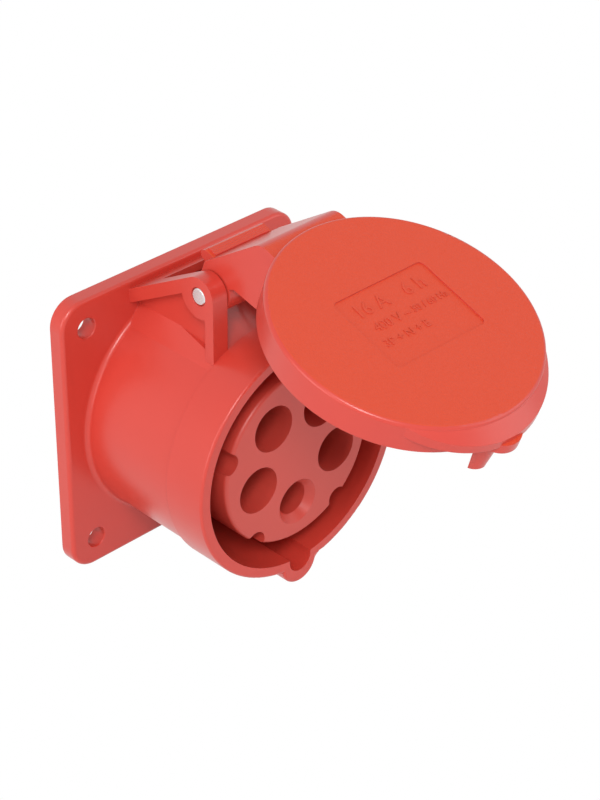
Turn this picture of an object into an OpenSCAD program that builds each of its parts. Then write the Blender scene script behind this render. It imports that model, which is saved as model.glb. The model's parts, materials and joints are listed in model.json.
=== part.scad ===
// Industrial panel socket, five-pole 16 A pattern, straight, with a hinged spring lid.
// Row frame: origin on the panel plane at the socket's axis, +Z up, the open end towards -Y.
// Working frame of the modules: x across, y up, z forwards; facing_front() turns it to the row frame.

/* [Flange] */
// Width and height of the square flange
flange_w = 75; // [68:0.5:90]
// Thickness of the flange plate
flange_t = 4.3; // [3.5:0.1:6]
// Radius of the flange's four corners
flange_corner_r = 6.5; // [3:0.5:10]
// Rounding of the flange's front edge
flange_edge_r = 1.0; // [0.4:0.1:1.5]
// Spacing of the four fixing holes, centre to centre
fix_spacing = 60; // [58:0.5:64]
// Diameter of a fixing hole
fix_hole_d = 5.2; // [4.5:0.1:6.5]
// Chamfer at the mouth of a fixing hole
fix_chamfer = 0.2; // [0.1:0.1:0.5]
// Gap between the barrel's bore and the groove for the flange seal
seal_inset = 1.9; // [1.5:0.1:3]
// Width of the flange seal
seal_w = 3.0; // [2:0.1:4]
// Depth of the flange seal in its groove
seal_t = 1.5; // [1:0.1:2]

/* [Barrel and collar] */
// Diameter of the bore that takes the plug's shroud
bore_d = 58.6; // [57.6:0.1:60]
// Wall of the barrel
barrel_wall = 2.0; // [1.6:0.1:2.4]
// Wall of the thicker collar at the mouth
collar_wall = 2.8; // [2.6:0.1:3.4]
// Distance from the panel plane to the collar's rim
rim_z = 45.5; // [43:0.5:50]
// Length of the thicker collar
collar_len = 12.0; // [9:0.5:14]
// Rounding of the collar's outer edge
rim_edge_r = 0.7; // [0.3:0.1:1.2]
// Fillet at the foot of the barrel
barrel_foot_r = 1.3; // [0.5:0.1:2]
// Thickness of the inner ledge that the insert seats on
ledge_t = 4.0; // [3:0.5:6]
// Distance from the panel plane to the back of the ledge
ledge_z = 5.5; // [5:0.5:8]

/* [Keyway] */
// Width of the keyway groove
key_w = 7.0; // [6:0.1:8]
// Depth of the keyway groove below the bore
key_depth = 4.0; // [3:0.1:4.5]
// Wall below the keyway groove
key_wall = 3.4; // [2.4:0.1:4]
// Wall beside the keyway groove
key_side_wall = 2.0; // [1.2:0.1:2.6]
// Fillet where the keyway's bulge meets the collar
key_fillet_r = 2.2; // [1:0.1:3]

/* [Hinge] */
// Height of the hinge axis above the collar
hinge_rise = 11.3; // [10:0.1:14]
// Diameter of the hinge pin
pin_d = 4.6; // [3.6:0.1:5]
// Running clearance round the hinge pin
pin_clear = 0.05; // [0.02:0.01:0.1]
// Chamfer at the pin's ends
pin_chamfer = 0.4; // [0.2:0.1:0.8]
// Clear width between the two ears
ear_gap = 24.4; // [22:0.2:28]
// Thickness of an ear
ear_t = 4.5; // [3.5:0.1:6]
// Thickness of the web at the bottom of an ear's pocket
ear_web_t = 1.5; // [1.2:0.1:2.5]
// Radius of an ear's nose round the pin
ear_nose_r = 4.9; // [4.2:0.1:6]
// Height above the barrel of the ears' top where they meet the flange
ear_root_rise = 4.1; // [3:0.1:5]
// Height of the fill between an ear and the barrel at the flange
ear_fill = 2.3; // [1:0.1:3]
// Width of the rim along an ear's top
ear_top_rim = 3.3; // [2:0.1:4]
// Width of the rim down an ear's front
ear_front_rim = 2.8; // [1.5:0.1:3.5]
// Radius of the boss round the pin in an ear's pocket
ear_boss_r = 5.8; // [4.8:0.1:6.5]
// Length of the roof that joins the ears at the flange
roof_len = 7.0; // [5:0.5:9]
// Thickness of the roof
roof_t = 2.2; // [1.5:0.1:3]

/* [Lid] */
// Angle at which the lid stands open
lid_angle = 70.4; // [40:0.1:85]
// Distance of the lid's edge inside the collar's edge
lid_under = 0.2; // [0:0.05:0.5]
// Depth of the lid's skirt
lid_depth = 7.6; // [7:0.1:9]
// Thickness of the lid's face
lid_face_t = 2.2; // [1.8:0.1:2.8]
// Height of the bulge that covers the keyway's mouth
lid_lobe_h = 2.6; // [1.5:0.1:3.5]
// Thickness of the lid's skirt
lid_skirt_t = 1.5; // [1.2:0.1:1.6]
// Rounding of the lid's outer edge
lid_edge_r = 1.0; // [0.4:0.1:1.4]
// Gap that the closed lid keeps to the collar's rim
lid_gap = 0.3; // [0.2:0.05:0.6]
// Radius of the arc that the finger lip follows
lip_arc_r = 26; // [24:0.5:28]
// Reach of the finger lip past the lid's edge
lip_reach = 3.5; // [2:0.1:5]
// Drop of the finger lip's edge below the lid's face
lip_drop = 3.7; // [2:0.1:5]
// Thickness of the finger lip
lip_t = 1.9; // [1.4:0.1:2.6]
// Width of the recessed label field
field_w = 28; // [20:1:34]
// Height of the recessed label field
field_h = 21.4; // [14:0.2:26]
// Sideways offset of the label field
field_side = 1.5; // [-4:0.5:4]
// Depth of the label field
field_depth = 0.35; // [0.2:0.05:0.6]
// Corner radius of the label field
field_r = 1.4; // [0.5:0.1:3]
// Gap between the skirt and the lid's seal
lid_seal_gap = 0.15; // [0.1:0.05:0.3]
// Width of the lid's seal
lid_seal_w = 3.0; // [2.6:0.1:3.6]
// Thickness of the lid's seal
lid_seal_t = 3.2; // [2.4:0.1:4]
// Thickness of the rib inside the lid's seal
lid_rib_t = 0.8; // [0.6:0.1:1.2]

/* [Lid catch] */
// Clearance of the catch in the keyway
catch_clear = 0.4; // [0.2:0.05:0.8]
// Thickness of the catch inwards from the middle of its half-round
catch_flat = 0.6; // [0.2:0.1:1.5]
// Length of the catch from the lid's face
catch_len = 19.6; // [15:0.2:21]
// Radius of the catch's tip
catch_tip_r = 1.8; // [1:0.1:3]
// Length of the slant at the catch's tip
catch_bevel = 2.4; // [0.5:0.1:4]

/* [Lid neck] */
// Side clearance of the neck between the ears
neck_clear = 0.3; // [0.2:0.05:0.6]
// Radius of the knuckle round the pin
knuckle_r = 5.4; // [4.6:0.1:5.8]
// Height of the neck's ridge above the hinge axis
ridge_up = 4.9; // [3:0.1:6]
// Step from the lid's face down to the neck
neck_drop = 2.6; // [1.5:0.1:3.5]
// Height above the lid's edge at which the neck turns down to its slope
neck_rise = 3.0; // [2:0.1:5]
// Rounding at the head of the neck's slope
slope_r = 4.7; // [2:0.1:6]
// Distance of the neck's back wall in front of the hinge axis
neck_back_z = 4.8; // [4:0.1:6]
// Wall of the hollow neck
neck_wall = 2.2; // [1.6:0.1:3]
// Clearance between the neck and the collar below it
collar_clear = 0.5; // [0.3:0.1:0.8]
// Width of the thumb tab
tab_w = 18.5; // [12:0.5:20]
// Thickness of the thumb tab
tab_t = 2.8; // [2:0.1:3.6]
// Height of the thumb tab above the hinge axis
tab_up = 8.7; // [7:0.1:11]
// Number of grip ribs on the thumb tab
tab_ribs = 4; // [2:1:5]
// Height of a grip rib
tab_rib_h = 0.5; // [0.3:0.1:0.8]

/* [Lid spring] */
// Diameter of the spring wire
wire_d = 1.1; // [0.8:0.1:1.4]
// Whole turns of the spring
spring_turns = 5; // [3:1:6]
// Gap left between neighbouring turns
spring_gap = 0.15; // [0.1:0.05:0.25]
// Side clearance of the spring in the knuckle's slot
spring_side = 0.4; // [0.3:0.1:1]
// Play between the pin and the coil
spring_play = 0.6; // [0.3:0.05:0.8]
// Slope of the leg that runs down to the barrel
leg_drop = 70; // [55:1:85]
// Length of the leg that bears on the lid
lid_leg = 10.2; // [9:0.1:11]
// Clearance between a spring leg and what it bears on
leg_clear = 0.05; // [0.03:0.01:0.1]

/* [Contact insert] */
// Width of the ring-shaped space for the plug's shroud
plug_space = 6.0; // [5.6:0.1:7]
// Distance of the insert's face behind the collar's rim
insert_recess = 1.15; // [0.5:0.05:3]
// Clearance of the insert in the ledge and in the bore
insert_clear = 0.3; // [0.2:0.05:0.5]
// Thickness of the insert's face
insert_face_t = 2.6; // [2:0.1:3.5]
// Outer wall of the insert
insert_wall = 1.8; // [1.4:0.1:2.4]
// Rounding of the insert's front edge
insert_edge_r = 1.0; // [0.3:0.1:1.2]
// Thickness of the insert's base
insert_base_t = 2.2; // [1.6:0.1:2.6]
// Radius of the half-round notches in the insert's edge
notch_r = 2.8; // [2:0.1:3]
// Radius of the circle that the contacts stand on
pitch_r = 13.5; // [13.2:0.1:13.8]
// Diameter of a contact well
well_d = 12.0; // [11:0.1:12.4]
// Depth of a phase well
well_depth = 14.5; // [12:0.5:17]
// Depth of the earth contact's dished well
earth_well_depth = 2.0; // [1.5:0.1:3]
// Diameter of the hole below the earth contact's well
earth_hole_d = 8.6; // [8.4:0.1:9]
// Wall of the tubes round the contacts
tube_wall = 1.2; // [1:0.1:1.4]

/* [Contacts] */
// Bore of a phase sleeve
pin_bore_d = 5.1; // [5:0.02:5.2]
// Bore of the earth sleeve
earth_bore_d = 6.1; // [6:0.02:6.2]
// Outer diameter of a sleeve
sleeve_d = 8.0; // [7.6:0.1:8.2]
// Distance of a phase sleeve's mouth behind the insert's face
sleeve_recess = 10.8; // [9.5:0.1:11.5]
// Distance of the earth sleeve's mouth behind the insert's face
earth_recess = 9.0; // [8.8:0.1:9.6]
// Depth of a sleeve's bore
sleeve_bore_depth = 24; // [20:0.5:26]
// Width of the slot that splits a sleeve
slot_w = 0.8; // [0.5:0.1:1]
// Length of the slot that splits a sleeve
slot_len = 12; // [9:0.5:14]
// Clearance between a sleeve's shoulder and the tube that guides it
guide_clear = 0.1; // [0.05:0.05:0.3]
// Width of the steel clip round a sleeve's mouth
clip_w = 3.0; // [2:0.1:4]
// Thickness of the steel clip
clip_t = 0.8; // [0.5:0.1:0.9]
// Distance of the clip behind the sleeve's mouth
clip_back = 0.5; // [0.3:0.1:1]

/* [Terminals] */
// Diameter of a terminal body
terminal_d = 9.2; // [8.6:0.1:9.6]
// Length of a terminal body behind the panel plane
terminal_back = 10; // [8:0.5:12]
// Diameter of a terminal's wire hole
wire_hole_d = 4.2; // [3.6:0.1:4.6]
// Depth of a terminal's wire hole
wire_hole_depth = 13; // [10:0.5:14]
// Distance of the terminal screws behind the panel plane
screw_back = 4; // [3.5:0.5:6]
// Thread diameter of a terminal screw
screw_d = 3.4; // [2.6:0.1:3.6]
// Head diameter of a terminal screw
screw_head_d = 5.0; // [4.4:0.1:5.4]
// Head height of a terminal screw
screw_head_h = 2.2; // [1.6:0.1:2.8]
// Radial clearance round a screw
screw_clear = 0.05; // [0.03:0.01:0.1]
// Width of the driver slot in a screw head
driver_w = 0.9; // [0.6:0.1:1.2]
// Depth of the driver slot in a screw head
driver_depth = 1.0; // [0.6:0.1:1.2]
// Width of a wire clamp
clamp_w = 2.8; // [2:0.1:3]
// Length of a wire clamp
clamp_len = 5.0; // [4:0.1:6]
// Thickness of a wire clamp
clamp_t = 0.8; // [0.5:0.1:1]
// Distance of a wire clamp above the middle of the wire hole
clamp_lift = 0.4; // [0.2:0.05:0.5]

/* [Terminal carrier] */
// Diameter of the carrier's body behind the panel plane
carrier_d = 45; // [44:0.5:46]
// Length of the carrier's body behind the panel plane
carrier_back = 12.5; // [12:0.5:15]
// Thickness of the carrier's rear wall
carrier_rear_t = 1.6; // [1.2:0.1:2]
// Thickness of the carrier's flange
carrier_flange_t = 2.2; // [1.6:0.1:2.6]
// Clearance round a terminal body in the carrier
chamber_clear = 0.2; // [0.1:0.05:0.3]
// Diameter of a wire entry in the carrier's rear wall
entry_d = 6.2; // [5.8:0.1:6.6]
// Diameter of the recess in the middle of the carrier's back
core_d = 11; // [6:0.5:13]
// Depth of the recess in the middle of the carrier's back
core_depth = 9; // [4:0.5:10]
// Thread diameter of a carrier screw
fixing_d = 2.9; // [2.2:0.1:3.2]
// Head diameter of a carrier screw
fixing_head_d = 5.0; // [4.4:0.1:5.2]
// Head height of a carrier screw
fixing_head_h = 1.5; // [1.2:0.1:2]

/* [Hidden] */
fillet_bite = 0.02;
$fn = 96;
eps = 0.01;

red = [0.83, 0.24, 0.19];
red_inner = [0.74, 0.20, 0.16];
brass = [0.80, 0.66, 0.36];
steel = [0.72, 0.73, 0.75];
rubber = [0.13, 0.13, 0.14];
carrier_grey = [0.30, 0.31, 0.33];

// Clockwise from the top, seen from the front; the earth contact stands at six o'clock, over the keyway
earth_angle = 180;
pole_step = 72;
phase_angles = [earth_angle + pole_step, earth_angle + 2 * pole_step,
    earth_angle + 3 * pole_step, earth_angle + 4 * pole_step];
pole_angles = concat([earth_angle], phase_angles);

bore_r = bore_d / 2;
barrel_r = bore_r + barrel_wall;
collar_r = bore_r + collar_wall;
collar_z = rim_z - collar_len;
annulus_z = ledge_z + ledge_t;

// The keyway groove ends in a half circle, and its bulge in a larger one
key_r = key_w / 2;
key_c = bore_r + key_depth - key_r;
bulge_r = key_r + key_side_wall;
bulge_c = bore_r + key_depth + key_wall - bulge_r;

catch_r = key_r - catch_clear;

seal_in_r = bore_r + seal_inset;
seal_out_r = seal_in_r + seal_w;

// The ears' front stands on the collar's step; their top runs straight from the flange to the nose circle
hinge_up = collar_r + hinge_rise;
hinge_z = collar_z - ear_nose_r;
ear_root_up = barrel_r + ear_root_rise;
pin_r = pin_d / 2;
ear_in = ear_gap / 2;
ear_out = ear_in + ear_t;
root_to_hinge = [hinge_z - flange_t, hinge_up - ear_root_up];
top_slope = atan2(root_to_hinge[1], root_to_hinge[0]) + asin(ear_nose_r / norm(root_to_hinge));
ear_front_z = hinge_z + ear_nose_r;
function ear_top(z) = ear_root_up + (z - flange_t) * tan(top_slope);
roof_front_z = flange_t + roof_len;

lid_r = collar_r - lid_under;
slope_up = lid_r + neck_rise;
lid_front_z = rim_z + lid_gap + lid_depth;
lid_back_z = rim_z + lid_gap;
lid_inner_r = lid_r - lid_skirt_t;
lid_bulge_r = bulge_r - lid_under;
lip_arc_c = lid_r + lip_reach - lip_arc_r;
lid_seal_out_r = lid_inner_r - lid_seal_gap;
lid_seal_in_r = lid_seal_out_r - lid_seal_w;

neck_half = ear_in - neck_clear;
// Spring: its last part of a turn turns the fixed leg down to the barrel's top
wire_r = wire_d / 2;
spring_r = pin_r + wire_r + spring_play;
spring_pitch = wire_d + spring_gap;
spring_half = spring_turns * spring_pitch / 2;
slot_half = spring_half + wire_r + spring_side;
spring_sweep = spring_turns * 360 + leg_drop;
leg_foot = sqrt(pow(barrel_r + wire_r + leg_clear, 2) - pow(spring_half, 2));
leg_len = (hinge_up + spring_r * cos(leg_drop) - leg_foot) / sin(leg_drop);

insert_r = bore_r - plug_space;
fixing_r = (insert_r + insert_clear + bore_r) / 2;
insert_z = rim_z - insert_recess;
insert_back_z = ledge_z - insert_base_t;
base_r = bore_r - insert_clear;
well_r = well_d / 2;
shoulder_r = sleeve_d / 2 + clip_t + 0.2;
guide_r = shoulder_r + guide_clear;
sleeve_r = sleeve_d / 2;
clip_r = sleeve_r + clip_t;
shoulder_z = insert_back_z + 3;

terminal_r = terminal_d / 2;
chamber_r = terminal_r + chamber_clear;
carrier_r = carrier_d / 2;
carrier_front_z = insert_back_z;
carrier_seat_z = carrier_front_z - carrier_flange_t;
screw_r = screw_d / 2;
screw_head_r = screw_head_d / 2;
clamp_top = clamp_lift + clamp_t;
fixing_angles = [90, 270];

// Turns the working frame (z forwards, y up) to the row frame (-Y forwards, Z up)
module facing_front() rotate([90, 0, 0]) children();

// Puts its children on the contact circle at one pole, with their y outwards
module at_pole(angle) rotate([0, 0, -angle]) translate([0, pitch_r, 0]) children();

// Extrudes a side profile, drawn as [z, y], across x from x0 over a width w
module across(x0, w) translate([x0 + w, 0, 0]) rotate([0, -90, 0]) linear_extrude(w) children();

// A disc with a rounded front edge
module rounded_disc(r, h, edge_r) rotate_extrude() union() {
    square([r - edge_r, h]);
    square([r, h - edge_r]);
    translate([r - edge_r, h - edge_r]) intersection() {
        circle(edge_r, $fn = 32);
        square(edge_r);
    }
}

// A stadium that runs down from the axis and ends in a half circle
module key_shape(r, c) {
    translate([0, -c]) circle(r);
    translate([-r, -c]) square([2 * r, c / 2]);
}

// The two fillets between a ring of radius ring_r and a lobe of radius r at depth c; they bite a hair into both
module lobe_fillets(ring_r, r, c, fillet_r) {
    a = ring_r + fillet_r;
    b = r + fillet_r;
    down = (a * a - b * b + c * c) / (2 * c);
    side = sqrt(a * a - down * down);
    for (s = [-1, 1]) difference() {
        polygon([[0, -c], [s * side * r / b, -c + (c - down) * r / b], [s * side, -down],
            [s * side * ring_r / a, -down * ring_r / a]]);
        translate([s * side, -down]) circle(fillet_r + fillet_bite);
    }
}

// Points of an arc
function arc(c, r, a0, a1, n) = [for (i = [0:n]) c + r * [cos(a0 + (a1 - a0) * i / n), sin(a0 + (a1 - a0) * i / n)]];

// Side profile of an ear: straight top, nose circle, straight front
module ear_profile() {
    nose = [hinge_z, hinge_up];
    polygon([[flange_t - 1, ear_top(flange_t - 1)], nose + ear_nose_r * [-sin(top_slope), cos(top_slope)], nose,
        nose + [ear_nose_r, 0], [ear_front_z, bore_r / 2], [flange_t - 1, bore_r / 2]]);
    translate(nose) circle(ear_nose_r);
}

// Side profile of the pocket in an ear's outer face
module ear_pocket_profile() difference() {
    drop = ear_top_rim / cos(top_slope);
    polygon([[flange_t, ear_top(flange_t) - drop], [ear_front_z - ear_front_rim, ear_top(ear_front_z - ear_front_rim) - drop],
        [ear_front_z - ear_front_rim, bore_r / 2], [flange_t, bore_r / 2]]);
    translate([hinge_z, hinge_up]) circle(ear_boss_r);
}

// Fill between an ear's web and the barrel: it runs out tangent to the barrel and falls away in front
module ear_foot_fill() {
    foot = [ear_in + ear_web_t, sqrt(pow(barrel_r, 2) - pow(ear_in + ear_web_t, 2)) + ear_fill];
    run_out = atan2(foot[1], foot[0]) - acos(barrel_r / norm(foot));
    front_z = (ear_front_z + flange_t) / 2;
    intersection() {
        linear_extrude(collar_z)
            polygon([[ear_in + ear_web_t / 2, foot[1]], foot, (barrel_r - barrel_wall / 2) * [cos(run_out), sin(run_out)], [ear_in + ear_web_t / 2, 0]]);
        across(ear_in, barrel_r) polygon([[flange_t - 1, foot[1] + 1], [front_z, foot[1] + 0.01],
            [collar_z, foot[1] - ear_fill], [collar_z, 0], [flange_t - 1, 0]]);
    }
}

// Square plate with round corners and a rounded front edge
module flange_plate() {
    inner = flange_w - 2 * flange_corner_r;
    for (sx = [-1, 1], sy = [-1, 1])
        translate([sx * inner / 2, sy * inner / 2, 0]) rounded_disc(flange_corner_r, flange_t, flange_edge_r);
    for (turn = [0, 90]) rotate([0, 0, turn]) translate([0, inner / 2, 0]) rotate([90, 0, 0])
        linear_extrude(inner) flange_section();
}

// Cross-section of the flange between its corners
module flange_section() {
    translate([-flange_w / 2, 0]) square([flange_w, flange_t - flange_edge_r]);
    translate([-flange_w / 2 + flange_edge_r, 0]) square([flange_w - 2 * flange_edge_r, flange_t]);
    for (s = [-1, 1]) translate([s * (flange_w / 2 - flange_edge_r), flange_t - flange_edge_r])
        circle(flange_edge_r, $fn = 32);
}

// Barrel, thicker collar and the foot fillet, before they are bored
module barrel_outside() {
    cylinder(r = barrel_r, h = rim_z - rim_edge_r);
    translate([0, 0, collar_z]) rounded_disc(collar_r, collar_len, rim_edge_r);
    translate([0, 0, flange_t]) rotate_extrude() difference() {
        square([barrel_r + barrel_foot_r, barrel_foot_r]);
        translate([barrel_r + barrel_foot_r, barrel_foot_r]) circle(barrel_foot_r, $fn = 32);
    }
    translate([0, -bulge_c, 0]) rounded_disc(bulge_r, rim_z, rim_edge_r);
    linear_extrude(collar_z + 1) lobe_fillets(barrel_r, bulge_r, bulge_c, key_fillet_r);
    translate([0, 0, collar_z]) linear_extrude(collar_len - rim_edge_r / 2)
        lobe_fillets(collar_r, bulge_r, bulge_c, key_fillet_r);
}

// One moulding: flange, barrel, collar with its keyway, hinge ears and the roof between them
module housing() color(red) facing_front() difference() {
    union() {
        flange_plate();
        barrel_outside();
        for (s = [-1, 1]) difference() {
            across(s > 0 ? ear_in : -ear_out, ear_t) ear_profile();
            across(s > 0 ? ear_in + ear_web_t : -ear_out - eps, ear_t - ear_web_t + eps) ear_pocket_profile();
        }
        for (s = [0, 1]) mirror([s, 0, 0]) ear_foot_fill();
        across(-ear_in - eps, ear_gap + 2 * eps) polygon([[flange_t - 1, ear_top(flange_t - 1)],
            [roof_front_z, ear_top(roof_front_z)], [roof_front_z, ear_top(roof_front_z) - roof_t],
            [flange_t - 1, ear_top(flange_t - 1) - roof_t - 1]]);
    }
    translate([0, 0, annulus_z]) cylinder(r = bore_r, h = rim_z);
    translate([0, 0, annulus_z]) linear_extrude(rim_z) key_shape(key_r, key_c);
    translate([0, 0, -1]) cylinder(r = bore_r, h = ledge_z + 1);
    cylinder(r = insert_r + insert_clear, h = rim_z);
    translate([0, 0, -eps]) difference() {
        cylinder(r = seal_out_r, h = seal_t + eps);
        translate([0, 0, -eps]) cylinder(r = seal_in_r, h = seal_t + 3 * eps);
    }
    for (sx = [-1, 1], sy = [-1, 1]) translate([sx * fix_spacing / 2, sy * fix_spacing / 2, 0]) {
        translate([0, 0, -1]) cylinder(d = fix_hole_d, h = flange_t + 2);
        translate([0, 0, flange_t - fix_chamfer])
            cylinder(d1 = fix_hole_d, d2 = fix_hole_d + 4 * fix_chamfer, h = 2 * fix_chamfer);
    }
    across(-ear_out - 1, 2 * ear_out + 2) translate([hinge_z, hinge_up]) circle(pin_r + pin_clear);
    for (a = fixing_angles) rotate([0, 0, -a]) translate([0, fixing_r, 0])
        cylinder(d = fixing_d + 2 * screw_clear, h = annulus_z - 0.6);
}

// Turns its children, drawn on the closed lid, to the angle at which the lid stands open
module opened() translate([0, hinge_up, hinge_z]) rotate([-lid_angle, 0, 0]) translate([0, -hinge_up, -hinge_z])
    children();

// Places its children on the closed lid so that they lie level, measured from the hinge axis, once it is open
module level_when_open() translate([0, hinge_up, hinge_z]) rotate([lid_angle, 0, 0]) children();

// Outline of the skirt's bulge over the keyway
module skirt_lobe() {
    translate([0, -bulge_c]) circle(lid_bulge_r);
    lobe_fillets(lid_r, lid_bulge_r, bulge_c, key_fillet_r);
}

// Head, foot and angle of the neck's slope in the side profile
slope_head = [lid_front_z - neck_drop, slope_up];
slope_foot = [hinge_z + neck_back_z, hinge_up + ridge_up];
slope_angle = atan2(slope_foot[1] - slope_head[1], slope_head[0] - slope_foot[0]);

// Side profile of the neck: rounded head, slope, knuckle and back wall
module neck_profile() {
    mid = slope_head - [slope_r, slope_r * tan((90 - slope_angle) / 2)];
    polygon(concat(arc(mid, slope_r, 0, 90 - slope_angle, 8),
        [slope_foot, [hinge_z, hinge_up + ridge_up], [hinge_z, hinge_up],
        [hinge_z + neck_back_z, hinge_up - knuckle_r],
        [hinge_z + neck_back_z + 0.9, collar_r - 4], [slope_head[0], collar_r - 4]]));
    translate([hinge_z, hinge_up]) circle(knuckle_r);
}

// Side profile of the space inside the hollow neck
module neck_hollow_profile() {
    inward = -neck_wall * [sin(slope_angle), cos(slope_angle)];
    back_z = hinge_z + neck_back_z + neck_wall;
    along = (slope_head[0] + inward[0] - back_z) * tan(slope_angle);
    polygon([[slope_head[0] - neck_wall, collar_r - 5], slope_head + inward,
        [back_z, slope_head[1] + inward[1] + along], [back_z + 0.9, collar_r - 5]]);
}

// Thumb tab: a rounded plate with grip ribs across its front
module thumb_tab() {
    foot = hinge_up + ridge_up - 1;
    tip_r = tab_t / 2;
    front_z = slope_foot[0];
    across(-tab_w / 2, tab_w) {
        translate([front_z - tab_t, foot]) square([tab_t, hinge_up + tab_up - tip_r - foot]);
        translate([front_z - tip_r, hinge_up + tab_up - tip_r]) circle(tip_r, $fn = 48);
    }
    rib_pitch = (tab_up - ridge_up - tip_r) / tab_ribs;
    for (i = [0:tab_ribs - 1]) across(-tab_w / 2 + 0.8, tab_w - 1.6)
        translate([front_z, slope_foot[1] + (i + 0.8) * rib_pitch]) circle(tab_rib_h, $fn = 24);
}

// Finger lip: a conical rim that an arc of its own cuts to a crescent
module finger_lip() intersection() {
    start = [lid_r - 0.5, 0.4];
    end = [lid_r + lip_reach + 1, lip_drop + (lip_drop - 0.4) / (lip_reach + 0.5)];
    rotate_extrude() polygon([start - [1.5, -1.2], start, end, end + [0, lip_t], start + [0, lip_t + 1],
        start + [-1.5, lip_t + 1]]);
    translate([0, -lip_arc_c, -1]) cylinder(r = lip_arc_r, h = lid_depth + 2);
}

// Half-round, tapered catch that drops into the keyway when the lid closes and holds an inserted plug
module lid_catch() difference() {
    translate([0, -key_c, 0]) union() {
        translate([0, 0, lid_depth / 2]) cylinder(r = catch_r, h = lid_depth / 2 + 1 + eps);
        translate([0, 0, lid_depth + 1]) cylinder(r1 = catch_r, r2 = catch_tip_r, h = catch_len - lid_depth - 1);
    }
    translate([-catch_r - 1, catch_flat - key_c, -1]) cube([2 * catch_r + 2, 2 * catch_r, catch_len + 2]);
    across(-catch_r - 1, 2 * catch_r + 2) polygon([[catch_len - catch_bevel, -key_c - catch_r],
        [catch_len, -key_c + catch_flat], [catch_len + 1, -key_c + catch_flat + 1],
        [catch_len + 1, -key_c - catch_r - 1], [catch_len - catch_bevel, -key_c - catch_r - 1]]);
}

// Lid before it is turned open: face, skirt, lip, catch, neck, knuckle and thumb tab in one moulding
module closed_lid() difference() {
    union() {
        translate([0, 0, lid_back_z]) {
            difference() {
                union() {
                    rounded_disc(lid_r, lid_depth, lid_edge_r);
                    linear_extrude(lid_lobe_h) skirt_lobe();
                }
                translate([0, 0, -eps]) cylinder(r = lid_inner_r, h = lid_depth - lid_face_t + eps);
            }
            // Seat ring and inner rib of the seal
            translate([0, 0, lid_seal_t]) linear_extrude(lid_depth - lid_seal_t - lid_face_t + 0.5)
                seal_ring(lid_seal_gap + 0.1);
            translate([0, 0, 1.5]) linear_extrude(lid_depth - lid_face_t - 1) difference() {
                circle(lid_seal_in_r - 0.1);
                circle(lid_seal_in_r - 0.1 - lid_rib_t);
                translate([-catch_r - 0.6, -lid_r]) square([2 * catch_r + 1.2, lid_r / 2]);
            }
        }
        translate([0, 0, lid_front_z]) mirror([0, 0, 1]) finger_lip();
        translate([0, 0, lid_front_z]) mirror([0, 0, 1]) lid_catch();
        difference() {
            across(-neck_half, 2 * neck_half) neck_profile();
            across(-neck_half + neck_wall, 2 * (neck_half - neck_wall)) neck_hollow_profile();
            translate([0, 0, -eps]) cylinder(r = collar_r + collar_clear, h = lid_back_z + eps);
            translate([0, 0, lid_back_z - eps]) cylinder(r = lid_inner_r, h = lid_depth - lid_face_t + eps);
        }
        thumb_tab();
        level_when_open() translate([-slot_half - neck_wall / 2, spring_r - wire_r - leg_clear - neck_wall, neck_back_z + 0.6])
            cube([2 * slot_half + neck_wall, neck_wall, 5]);
    }
    across(-neck_half - 1, 2 * neck_half + 2) translate([hinge_z, hinge_up]) circle(pin_r + pin_clear);
    across(-slot_half, 2 * slot_half) translate([hinge_z, hinge_up]) circle(knuckle_r + 0.1);
    level_when_open() translate([-slot_half, spring_r - wire_r - leg_clear, 0])
        cube([2 * slot_half, wire_d + 1.4, 11]);
    translate([field_side, 0.7, lid_front_z - field_depth]) linear_extrude(1) label_outline();
}

// Outline of the label field
module label_outline() {
    for (sx = [-1, 1], sy = [-1, 1])
        translate([sx * (field_w / 2 - field_r), sy * (field_h / 2 - field_r)]) circle(field_r, $fn = 32);
    square([field_w, field_h - 2 * field_r], center = true);
    square([field_w - 2 * field_r, field_h], center = true);
}

// Cross-section of the lid's seal, with a notch that clears the catch
module seal_ring(grow) difference() {
    circle(lid_seal_out_r + grow);
    circle(lid_seal_in_r);
    translate([-catch_r - 0.6, -lid_r]) square([2 * catch_r + 1.2, lid_r / 2]);
}

module lid() color(red) facing_front() opened() closed_lid();

module lid_seal() color(rubber) facing_front() opened()
    translate([0, 0, lid_back_z]) linear_extrude(lid_seal_t) seal_ring(0);

// Ground steel pin, pressed into both ears
module hinge_pin() color(steel) facing_front() translate([-ear_out, hinge_up, hinge_z]) rotate([0, 90, 0]) {
    cylinder(r1 = pin_r - pin_chamfer, r2 = pin_r, h = pin_chamfer);
    translate([0, 0, pin_chamfer]) cylinder(r = pin_r, h = 2 * (ear_out - pin_chamfer));
    translate([0, 0, 2 * ear_out - pin_chamfer]) cylinder(r1 = pin_r, r2 = pin_r - pin_chamfer, h = pin_chamfer);
}

// One ring of points round the spring wire: at angle a of the coil, or along its tangent there
function wire_ring(x, a, along, sides) = [for (k = [0:sides - 1])
    let (b = k * 360 / sides, r = spring_r + wire_r * cos(b))
        [x + wire_r * sin(b), r * sin(a) + along * cos(a), r * cos(a) - along * sin(a)]];

// Torsion spring: one leg bears on the lid, the other on the top of the barrel
module lid_spring() color(steel) facing_front() translate([0, hinge_up, hinge_z]) {
    sides = 8;
    steps = ceil(spring_turns * 18);
    points = [
        each wire_ring(-spring_half, 90, -lid_leg, sides),
        for (i = [0:steps]) each wire_ring((2 * i / steps - 1) * spring_half, 90 + i * spring_sweep / steps, 0, sides),
        each wire_ring(spring_half, 90 + spring_sweep, leg_len, sides)];
    last = steps + 2;
    walls = [for (i = [0:last - 1], k = [0:sides - 1]) let (n = (k + 1) % sides)
        [i * sides + k, (i + 1) * sides + k, (i + 1) * sides + n, i * sides + n]];
    caps = [[for (k = [0:sides - 1]) k], [for (k = [sides - 1:-1:0]) last * sides + k]];
    polyhedron(points, concat(walls, caps), convexity = 8);
}

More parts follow.
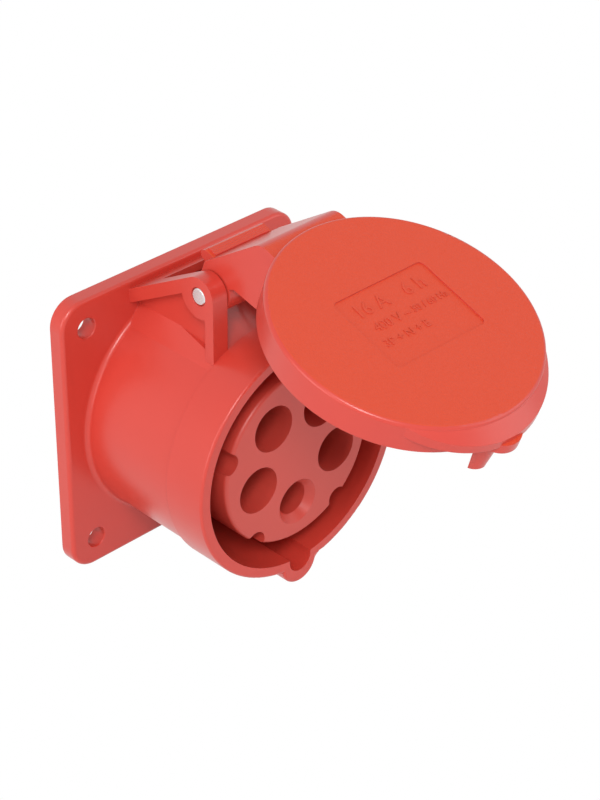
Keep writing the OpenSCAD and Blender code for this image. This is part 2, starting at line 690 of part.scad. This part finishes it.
// Outline of the insert, a disc with a half-round notch between each pair of contacts
module insert_outline(r, notch) difference() {
    circle(r);
    for (a = pole_angles) rotate([0, 0, -a - pole_step / 2]) translate([0, insert_r]) circle(notch, $fn = 48);
}

// Insulating insert: face, fluted outer wall, base and one tube for each contact
module contact_insert() color(red_inner) facing_front() difference() {
    union() {
        difference() {
            intersection() {
                translate([0, 0, insert_back_z]) rounded_disc(insert_r, insert_z - insert_back_z, insert_edge_r);
                linear_extrude(rim_z) insert_outline(insert_r, notch_r);
            }
            translate([0, 0, insert_back_z - eps]) linear_extrude(insert_z - insert_face_t - insert_back_z)
                insert_outline(insert_r - insert_wall, notch_r + insert_wall);
        }
        translate([0, 0, insert_back_z]) difference() {
            cylinder(r = base_r, h = insert_base_t);
            translate([0, 0, -eps]) linear_extrude(insert_base_t + 2 * eps)
                insert_outline(insert_r - insert_wall, notch_r + insert_wall);
        }
        for (a = pole_angles) at_pole(a) translate([0, 0, insert_back_z])
            cylinder(r = guide_r + tube_wall, h = insert_z - insert_back_z - 1);
        for (a = phase_angles) at_pole(a) translate([0, 0, insert_z - well_depth - tube_wall])
            cylinder(r = well_r + tube_wall, h = well_depth + tube_wall - 1);
    }
    for (a = phase_angles) at_pole(a) {
        translate([0, 0, insert_z - well_depth]) cylinder(r = well_r, h = well_depth + 1);
        translate([0, 0, insert_back_z - 1]) cylinder(r = guide_r, h = insert_z - insert_back_z);
    }
    at_pole(earth_angle) {
        translate([0, 0, insert_z - earth_well_depth]) cylinder(d1 = earth_hole_d, r2 = well_r, h = earth_well_depth);
        translate([0, 0, insert_z - eps]) cylinder(r = well_r, h = 1);
        translate([0, 0, insert_back_z]) cylinder(d = earth_hole_d, h = insert_z - insert_back_z);
        translate([0, 0, insert_back_z - 1]) cylinder(r = guide_r, h = insert_z - earth_recess - insert_back_z + 1.4);
    }
    for (a = fixing_angles) rotate([0, 0, -a]) translate([0, fixing_r, 0])
        cylinder(d = fixing_d + 2 * screw_clear, h = ledge_z + 1);
}

// Insulating carrier behind the insert, with a chamber and a wire entry for each terminal
module terminal_carrier() color(carrier_grey) facing_front() difference() {
    union() {
        translate([0, 0, carrier_seat_z]) cylinder(r = base_r, h = carrier_flange_t);
        translate([0, 0, -carrier_back]) cylinder(r = carrier_r, h = carrier_back + carrier_front_z);
    }
    for (a = pole_angles) at_pole(a) {
        translate([0, 0, carrier_rear_t - carrier_back]) cylinder(r = chamber_r, h = carrier_back + rim_z);
        translate([0, 0, -carrier_back - 1]) cylinder(d = entry_d, h = carrier_rear_t + 2);
        translate([0, 0, -screw_back]) rotate([-90, 0, 0]) cylinder(r = screw_head_r + 0.3, h = carrier_r);
    }
    translate([0, 0, -carrier_back - 1]) cylinder(d = core_d, h = core_depth + 1);
    for (a = fixing_angles) rotate([0, 0, -a]) translate([0, fixing_r, carrier_seat_z - 1])
        cylinder(d = fixing_d + 2 * screw_clear, h = carrier_flange_t + 2);
}

// Turned brass contact: a split sleeve, a shoulder and the terminal body behind it
module sleeve(angle, bore, recess) color(brass) facing_front() at_pole(angle) {
    mouth_z = insert_z - recess;
    difference() {
        union() {
            translate([0, 0, shoulder_z]) rounded_disc(sleeve_r, mouth_z - shoulder_z, 0.5);
            translate([0, 0, shoulder_z]) cylinder(r = shoulder_r, h = 3);
            translate([0, 0, -terminal_back]) cylinder(r = terminal_r, h = shoulder_z + terminal_back + eps);
        }
        translate([0, 0, mouth_z - sleeve_bore_depth]) cylinder(d = bore, h = sleeve_bore_depth + 1);
        translate([0, 0, mouth_z - 0.5]) cylinder(d1 = bore, d2 = bore + 2, h = 1);
        translate([-slot_w / 2, -sleeve_r - 1, mouth_z - slot_len]) cube([slot_w, sleeve_d + 2, slot_len + 1]);
        translate([0, 0, -terminal_back - 1]) cylinder(d = wire_hole_d, h = wire_hole_depth + 1);
        translate([0, 0, -screw_back]) rotate([-90, 0, 0]) cylinder(r = screw_r + screw_clear, h = terminal_d);
    }
}

// Split steel ring that keeps a sleeve's mouth sprung
module clip(angle, recess) color(steel) facing_front() at_pole(angle)
    translate([0, 0, insert_z - recess - clip_back - clip_w]) difference() {
        cylinder(r = clip_r, h = clip_w);
        translate([0, 0, -1]) cylinder(r = sleeve_r, h = clip_w + 2);
        translate([0, -slot_w, -1]) cube([clip_r + 1, 2 * slot_w, clip_w + 2]);
    }

// Pressure plate between a terminal screw and the wire
module clamp(angle) color(steel) facing_front() at_pole(angle)
    translate([-clamp_w / 2, clamp_lift, -screw_back - clamp_len / 2]) cube([clamp_w, clamp_t, clamp_len]);

// Slotted round screw with its tip at the origin and its head upwards along z
module slotted_screw(r, len, head_r, head_h) difference() {
    union() {
        cylinder(r = r, h = len + eps);
        translate([0, 0, len]) rounded_disc(head_r, head_h, 0.4);
    }
    translate([-head_r - 1, -driver_w / 2, len + head_h - driver_depth]) cube([2 * head_r + 2, driver_w, driver_depth + 1]);
}

module terminal_screws() color(steel) facing_front() for (a = pole_angles) at_pole(a)
    translate([0, clamp_top + screw_clear, -screw_back]) rotate([-90, 0, 0])
        slotted_screw(screw_r, terminal_r - clamp_top + 0.3, screw_head_r, screw_head_h);

module carrier_screws() color(steel) facing_front() for (a = fixing_angles) rotate([0, 0, -a])
    translate([0, fixing_r, annulus_z - 1]) rotate([180, 0, 0])
        slotted_screw(fixing_d / 2, annulus_z - 1 - carrier_seat_z, fixing_head_d / 2, fixing_head_h);

module flange_seal() color(rubber) facing_front() difference() {
    cylinder(r = seal_out_r, h = seal_t);
    translate([0, 0, -1]) cylinder(r = seal_in_r, h = seal_t + 2);
}

housing();
lid();
lid_seal();
hinge_pin();
lid_spring();
contact_insert();
terminal_carrier();
sleeve(earth_angle, earth_bore_d, earth_recess);  // sleeve_earth
sleeve(phase_angles[0], pin_bore_d, sleeve_recess);  // sleeve_n
sleeve(phase_angles[1], pin_bore_d, sleeve_recess);  // sleeve_l1
sleeve(phase_angles[2], pin_bore_d, sleeve_recess);  // sleeve_l2
sleeve(phase_angles[3], pin_bore_d, sleeve_recess);  // sleeve_l3
clip(earth_angle, earth_recess);  // clip_earth
clip(phase_angles[0], sleeve_recess);  // clip_n
clip(phase_angles[1], sleeve_recess);  // clip_l1
clip(phase_angles[2], sleeve_recess);  // clip_l2
clip(phase_angles[3], sleeve_recess);  // clip_l3
clamp(earth_angle);  // clamp_earth
clamp(phase_angles[0]);  // clamp_n
clamp(phase_angles[1]);  // clamp_l1
clamp(phase_angles[2]);  // clamp_l2
clamp(phase_angles[3]);  // clamp_l3
terminal_screws();
carrier_screws();
flange_seal();
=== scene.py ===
import bpy
import json
import math
from mathutils import Matrix, Vector


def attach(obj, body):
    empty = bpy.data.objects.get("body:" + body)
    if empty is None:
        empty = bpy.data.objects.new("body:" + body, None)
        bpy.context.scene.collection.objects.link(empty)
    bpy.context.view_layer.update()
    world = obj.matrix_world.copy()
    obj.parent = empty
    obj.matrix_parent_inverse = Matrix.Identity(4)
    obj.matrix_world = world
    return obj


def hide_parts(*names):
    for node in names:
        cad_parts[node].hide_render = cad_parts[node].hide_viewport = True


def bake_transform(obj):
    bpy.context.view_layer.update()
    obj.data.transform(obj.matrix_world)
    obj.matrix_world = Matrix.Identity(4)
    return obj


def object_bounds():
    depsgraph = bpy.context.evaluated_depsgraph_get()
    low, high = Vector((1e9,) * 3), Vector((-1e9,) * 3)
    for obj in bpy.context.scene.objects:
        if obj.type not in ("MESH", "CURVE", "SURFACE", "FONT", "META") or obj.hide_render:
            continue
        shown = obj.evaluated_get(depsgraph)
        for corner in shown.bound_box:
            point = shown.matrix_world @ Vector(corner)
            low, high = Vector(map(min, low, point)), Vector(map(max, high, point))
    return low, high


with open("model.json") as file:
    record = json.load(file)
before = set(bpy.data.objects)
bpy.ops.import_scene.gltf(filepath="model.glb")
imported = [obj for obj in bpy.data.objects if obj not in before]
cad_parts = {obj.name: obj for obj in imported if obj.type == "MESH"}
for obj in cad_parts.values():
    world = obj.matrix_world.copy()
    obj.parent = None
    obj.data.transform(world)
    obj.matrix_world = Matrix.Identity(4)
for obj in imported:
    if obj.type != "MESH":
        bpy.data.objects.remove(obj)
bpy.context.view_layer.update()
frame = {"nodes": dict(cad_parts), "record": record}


# ---- Red moulding: housing and lid ----
# Glass-filled polyamide in signal red. Edges are softened in shading by 0.12 mm,
# and the lid's outer face carries a fine spark-eroded grain that its sides lack. That face is also
# painted a lighter, more orange red, as painted light for the light it catches.

def linear(hex_code):
    channels = [int(hex_code[i:i + 2], 16) / 255 for i in (0, 2, 4)]
    return tuple(c / 12.92 if c <= 0.04045 else ((c + 0.055) / 1.055) ** 2.4 for c in channels) + (1.0,)


def add_node(tree, kind, **values):
    node = tree.nodes.new(kind)
    for name, value in values.items():
        if name in node.inputs:
            node.inputs[name].default_value = value
        else:
            setattr(node, name, value)
    return node


def new_material(name):
    material = bpy.data.materials.new(name)
    material.use_nodes = True
    return material, material.node_tree, material.node_tree.nodes["Principled BSDF"]


def dress(node_name, material):
    mesh = frame["nodes"][node_name].data
    for i in range(len(mesh.materials)):
        mesh.materials[i] = material


def red_plastic(name, colour, roughness, face=None):
    material, tree, shader = new_material(name)
    shader.inputs["IOR"].default_value = 1.5
    place = add_node(tree, "ShaderNodeTexCoord")
    edge = add_node(tree, "ShaderNodeBevel", samples=4, Radius=0.00012)
    peel = add_node(tree, "ShaderNodeTexNoise", Scale=260.0, Detail=2.0)
    tree.links.new(place.outputs["Object"], peel.inputs["Vector"])
    skin = add_node(tree, "ShaderNodeBump", Strength=0.12, Distance=0.0002)
    tree.links.new(peel.outputs["Fac"], skin.inputs["Height"])
    tree.links.new(edge.outputs["Normal"], skin.inputs["Normal"])
    tint = add_node(tree, "ShaderNodeTexNoise", Scale=45.0, Detail=3.0)
    tree.links.new(place.outputs["Object"], tint.inputs["Vector"])
    shade = add_node(tree, "ShaderNodeMix", data_type="RGBA")
    shade.inputs[6].default_value = linear(colour)
    shade.inputs[7].default_value = tuple(c * 0.93 for c in linear(colour)[:3]) + (1.0,)
    tree.links.new(tint.outputs["Fac"], shade.inputs["Factor"])
    tree.links.new(shade.outputs[2], shader.inputs["Base Color"])
    shader.inputs["Roughness"].default_value = roughness
    normal = skin.outputs["Normal"]
    if face is not None:
        direction, painted_lit_face_colour, face_roughness = face
        grain = add_node(tree, "ShaderNodeTexNoise", Scale=1500.0, Detail=3.0, Roughness=0.7)
        tree.links.new(place.outputs["Object"], grain.inputs["Vector"])
        facing = add_node(tree, "ShaderNodeVectorMath", operation="DOT_PRODUCT")
        facing.inputs[1].default_value = direction
        tree.links.new(place.outputs["Normal"], facing.inputs[0])
        mask = add_node(tree, "ShaderNodeMapRange")
        mask.inputs["From Min"].default_value = 0.93
        mask.inputs["From Max"].default_value = 0.97
        tree.links.new(facing.outputs["Value"], mask.inputs["Value"])
        depth = add_node(tree, "ShaderNodeMath", operation="MULTIPLY")
        depth.inputs[1].default_value = 0.9
        tree.links.new(mask.outputs["Result"], depth.inputs[0])
        rough_skin = add_node(tree, "ShaderNodeBump", Distance=0.0002)
        tree.links.new(depth.outputs["Value"], rough_skin.inputs["Strength"])
        tree.links.new(grain.outputs["Fac"], rough_skin.inputs["Height"])
        tree.links.new(normal, rough_skin.inputs["Normal"])
        normal = rough_skin.outputs["Normal"]
        rough = add_node(tree, "ShaderNodeMapRange")
        rough.inputs["To Min"].default_value = roughness
        rough.inputs["To Max"].default_value = face_roughness
        tree.links.new(mask.outputs["Result"], rough.inputs["Value"])
        tree.links.new(rough.outputs["Result"], shader.inputs["Roughness"])
        # Painted light: the outer face gets its own lighter, more orange red, standing in for the light that
        # face catches.
        painted_face_light = add_node(tree, "ShaderNodeMix", data_type="RGBA")
        tree.links.new(mask.outputs["Result"], painted_face_light.inputs["Factor"])
        tree.links.new(shade.outputs[2], painted_face_light.inputs[6])
        painted_face_light.inputs[7].default_value = linear(painted_lit_face_colour)
        tree.links.new(painted_face_light.outputs[2], shader.inputs["Base Color"])
    tree.links.new(normal, shader.inputs["Normal"])
    return material


lid_tilt = math.radians(70.4)
lid_out = (0.0, -math.cos(lid_tilt), math.sin(lid_tilt))
# D34424 is painted light, the lit colour of the lid's outer face; CD4034 is the moulding's own red.
lid_red = red_plastic("red_moulding_grain_and_painted_face_light", "CD4034", 0.3, (lid_out, "D34424", 0.5))
dress("housing", red_plastic("red_moulding_satin", "CD4034", 0.3))
dress("lid", lid_red)
dress("contact_insert", red_plastic("red_insert_smooth", "C44439", 0.4))


# ---- Raised ratings in the lid's field ----
# Moulded with the lid: plain ratings stand 0.15 mm proud of the recess's floor
# and stay below the lid's face; they turn with the lid about its hinge pin.

hinge = frame["record"]["behaviour"]["joints"][0]["pos_m"]
open_lid = (Matrix.Translation(hinge) @ Matrix.Rotation(-lid_tilt, 4, "X")
            @ Matrix.Translation([-c for c in hinge]))
field_centre = Matrix.Translation((0.0015, -0.05305, 0.0007))
upright = Matrix.Rotation(math.radians(90), 4, "X")

for line, (words, letter, side, up) in enumerate((
        ("16 A", 0.0052, -0.0062, 0.0060), ("6 h", 0.0052, 0.0072, 0.0060),
        ("400 V ~", 0.0034, -0.0045, 0.0006), ("50 / 60 Hz", 0.0026, 0.0072, 0.0006),
        ("3P + N + E", 0.0030, -0.0045, -0.0040))):
    curve = bpy.data.curves.new("ratings_line", "FONT")
    curve.body = words
    curve.size = letter
    curve.extrude = 0.00015
    curve.resolution_u = 4
    curve.align_x = "CENTER"
    curve.align_y = "CENTER"
    source = bpy.data.objects.new("ratings_line", curve)
    bpy.context.collection.objects.link(source)
    mesh = bpy.data.meshes.new_from_object(source.evaluated_get(bpy.context.evaluated_depsgraph_get()))
    bpy.data.objects.remove(source)
    mesh.transform(open_lid @ field_centre @ upright @ Matrix.Translation((side, up, 0)))
    mesh.materials.clear()
    mesh.materials.append(lid_red)
    rating = bpy.data.objects.new("lid_rating_%d" % line, mesh)
    bpy.context.collection.objects.link(rating)
    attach(rating, "lid")


# ---- Metals, rubber and grey plastic ----
# Ground and zinc-plated steel, spring wire, turned brass, soft seals and the
# dark rear carrier; only the pin's end shows in the main view.

def simple(name, colour, roughness, metallic, grain_scale, grain_strength):
    material, tree, shader = new_material(name)
    shader.inputs["Base Color"].default_value = linear(colour)
    shader.inputs["Roughness"].default_value = roughness
    shader.inputs["Metallic"].default_value = metallic
    place = add_node(tree, "ShaderNodeTexCoord")
    grain = add_node(tree, "ShaderNodeTexNoise", Scale=grain_scale, Detail=3.0)
    tree.links.new(place.outputs["Object"], grain.inputs["Vector"])
    edge = add_node(tree, "ShaderNodeBevel", samples=4, Radius=0.0001)
    bump = add_node(tree, "ShaderNodeBump", Strength=grain_strength, Distance=0.0001)
    tree.links.new(edge.outputs["Normal"], bump.inputs["Normal"])
    tree.links.new(grain.outputs["Fac"], bump.inputs["Height"])
    tree.links.new(bump.outputs["Normal"], shader.inputs["Normal"])
    return material


dress("hinge_pin", simple("steel_ground", "E9E7E6", 0.25, 1.0, 900.0, 0.05))
zinc = simple("steel_zinc_plated", "C6C8CC", 0.34, 1.0, 700.0, 0.12)
brass = simple("brass_turned", "C9A254", 0.3, 1.0, 800.0, 0.08)
clip_steel = simple("steel_clip", "B4B6B9", 0.32, 1.0, 800.0, 0.08)
rubber = simple("rubber_seal", "26262A", 0.7, 0.0, 600.0, 0.2)
for pole in ("earth", "n", "l1", "l2", "l3"):
    dress("sleeve_" + pole, brass)
    dress("clip_" + pole, clip_steel)
    dress("clamp_" + pole, zinc)
dress("terminal_screws", zinc)
dress("carrier_screws", zinc)
dress("lid_seal", rubber)
dress("flange_seal", rubber)
dress("terminal_carrier", simple("grey_polyamide", "4A4C50", 0.5, 0.0, 900.0, 0.15))


# ---- Lid spring ----
# Torsion spring of drawn steel wire, wound round the hinge pin: one leg bears
# on the lid, the other on the barrel.

wire_r = 0.00055
coil_r = 0.00345
coil_half = 0.003125
coil_turns = 5
steps_per_turn = 40
lid_leg = 0.0102
barrel_leg = 0.01365
leg_drop = math.radians(70)


def on_coil(side, turned, along=0.0):
    up = coil_r * math.sin(turned) + along * math.cos(turned)
    out = coil_r * math.cos(turned) - along * math.sin(turned)
    return (side, hinge[1] - out, hinge[2] + up)


start_turn = math.radians(90)
sweep = coil_turns * 2 * math.pi + leg_drop
steps = coil_turns * steps_per_turn
wire_path = [on_coil(-coil_half, start_turn, -lid_leg)]
wire_path += [on_coil((2 * i / steps - 1) * coil_half, start_turn + i * sweep / steps) for i in range(steps + 1)]
wire_path += [on_coil(coil_half, start_turn + sweep, barrel_leg)]

winding = bpy.data.node_groups.new("wire_along_path", "GeometryNodeTree")
winding.interface.new_socket("Path", in_out="INPUT", socket_type="NodeSocketGeometry")
radius_input = winding.interface.new_socket("Wire radius", in_out="INPUT", socket_type="NodeSocketFloat")
wire_input = winding.interface.new_socket("Wire", in_out="INPUT", socket_type="NodeSocketMaterial")
winding.interface.new_socket("Spring", in_out="OUTPUT", socket_type="NodeSocketGeometry")
given = add_node(winding, "NodeGroupInput")
along_path = add_node(winding, "GeometryNodeMeshToCurve")
section = add_node(winding, "GeometryNodeCurvePrimitiveCircle", Resolution=14)
drawn = add_node(winding, "GeometryNodeCurveToMesh", **{"Fill Caps": True})
smooth = add_node(winding, "GeometryNodeSetShadeSmooth")
real = add_node(winding, "GeometryNodeRealizeInstances")
finish_wire = add_node(winding, "GeometryNodeSetMaterial")
result = add_node(winding, "NodeGroupOutput")
winding.links.new(given.outputs["Path"], along_path.inputs["Mesh"])
winding.links.new(given.outputs["Wire radius"], section.inputs["Radius"])
winding.links.new(along_path.outputs["Curve"], drawn.inputs["Curve"])
winding.links.new(section.outputs["Curve"], drawn.inputs["Profile Curve"])
winding.links.new(drawn.outputs["Mesh"], smooth.inputs["Geometry"])
winding.links.new(smooth.outputs["Geometry"], real.inputs["Geometry"])
winding.links.new(real.outputs["Geometry"], finish_wire.inputs["Geometry"])
winding.links.new(given.outputs["Wire"], finish_wire.inputs["Material"])
winding.links.new(finish_wire.outputs["Geometry"], result.inputs["Spring"])

path_mesh = bpy.data.meshes.new("spring_path")
path_mesh.from_pydata(wire_path, [(i, i + 1) for i in range(len(wire_path) - 1)], [])
path = bpy.data.objects.new("spring_path", path_mesh)
bpy.context.collection.objects.link(path)
modifier = path.modifiers.new("winding", "NODES")
modifier.node_group = winding
modifier[radius_input.identifier] = wire_r
modifier[wire_input.identifier] = simple("steel_spring_wire", "B9BBBD", 0.3, 1.0, 900.0, 0.05)
spring_mesh = bpy.data.meshes.new_from_object(path.evaluated_get(bpy.context.evaluated_depsgraph_get()))
bpy.data.objects.remove(path)
spring = bpy.data.objects.new("lid_spring_wound", spring_mesh)
bpy.context.collection.objects.link(spring)
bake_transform(spring)
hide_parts("lid_spring")


# ---- Studio ----
# Pale floor under the flange's lower edge, white to the camera, and soft
# light from the left front and above at the level that renders colours as written.

def show_white(tree, surface, white_kind, output_name):
    path = add_node(tree, "ShaderNodeLightPath")
    seen = path.outputs["Is Camera Ray"]
    for ray in ("Is Glossy Ray", "Is Transmission Ray"):
        either = add_node(tree, "ShaderNodeMath", operation="MAXIMUM")
        tree.links.new(seen, either.inputs[0])
        tree.links.new(path.outputs[ray], either.inputs[1])
        seen = either.outputs["Value"]
    white = add_node(tree, white_kind, Color=(1.0, 1.0, 1.0, 1.0))
    mix = add_node(tree, "ShaderNodeMixShader")
    tree.links.new(seen, mix.inputs["Fac"])
    tree.links.new(surface.outputs[0], mix.inputs[1])
    tree.links.new(white.outputs[0], mix.inputs[2])
    tree.links.new(mix.outputs[0], tree.nodes[output_name].inputs["Surface"])


world = bpy.data.worlds.new("studio")
world.use_nodes = True
bpy.context.scene.world = world
sky = world.node_tree.nodes["Background"]
sky.inputs["Color"].default_value = (1.0, 1.0, 1.0, 1.0)
sky.inputs["Strength"].default_value = 0.5
show_white(world.node_tree, sky, "ShaderNodeBackground", "World Output")

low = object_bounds()[0]
bpy.ops.mesh.primitive_plane_add(size=6.0, location=(0, 0, low[2]))
floor = bpy.context.object
floor.name = "floor"
floor_material, floor_tree, floor_shader = new_material("floor_pale")
floor_shader.inputs["Base Color"].default_value = linear("E6E6E6")
floor_shader.inputs["Roughness"].default_value = 0.8
show_white(floor_tree, floor_shader, "ShaderNodeEmission", "Material Output")
floor.data.materials.append(floor_material)


def softbox(name, place, target, size, power):
    data = bpy.data.lights.new(name, "AREA")
    data.shape = "SQUARE"
    data.size = size
    data.energy = power
    lamp = bpy.data.objects.new(name, data)
    bpy.context.collection.objects.link(lamp)
    lamp.location = place
    lamp.rotation_euler = (Vector(target) - Vector(place)).to_track_quat("-Z", "Y").to_euler()


softbox("key", (-0.9, -0.9, 1.2), (0, -0.04, 0.02), 0.5, 17.0)
softbox("fill", (0.9, -1.1, 0.5), (0, -0.04, 0.02), 0.9, 4.0)
softbox("left", (-1.2, 0.1, 0.3), (0, -0.02, 0.0), 0.8, 5.0)


# ---- Camera ----
# Placed from the flange's known size: 44.7 degrees to the left of the socket's
# axis, 32.7 degrees above it, and rolled by half a degree.

azimuth, elevation, roll = math.radians(-44.655), math.radians(32.673), math.radians(-0.514)
back = Vector((math.sin(azimuth) * math.cos(elevation), -math.cos(azimuth) * math.cos(elevation),
               math.sin(elevation)))
right = Vector((0, 0, 1)).cross(back).normalized()
up = back.cross(right)
turned_right = math.cos(roll) * right - math.sin(roll) * up
turned_up = math.sin(roll) * right + math.cos(roll) * up
centre = 0.031542 * turned_right - 0.004284 * turned_up + 0.586477 * back
camera_data = bpy.data.cameras.new("camera")
camera_data.sensor_width = 36.0
camera_data.lens = 106.05
camera_data.clip_start = 0.01
camera = bpy.data.objects.new("camera", camera_data)
bpy.context.collection.objects.link(camera)
camera.matrix_world = Matrix((
    (turned_right.x, turned_up.x, back.x, centre.x),
    (turned_right.y, turned_up.y, back.y, centre.y),
    (turned_right.z, turned_up.z, back.z, centre.z),
    (0, 0, 0, 1)))
bpy.context.scene.camera = camera
bpy.context.scene.view_settings.view_transform = "Standard"
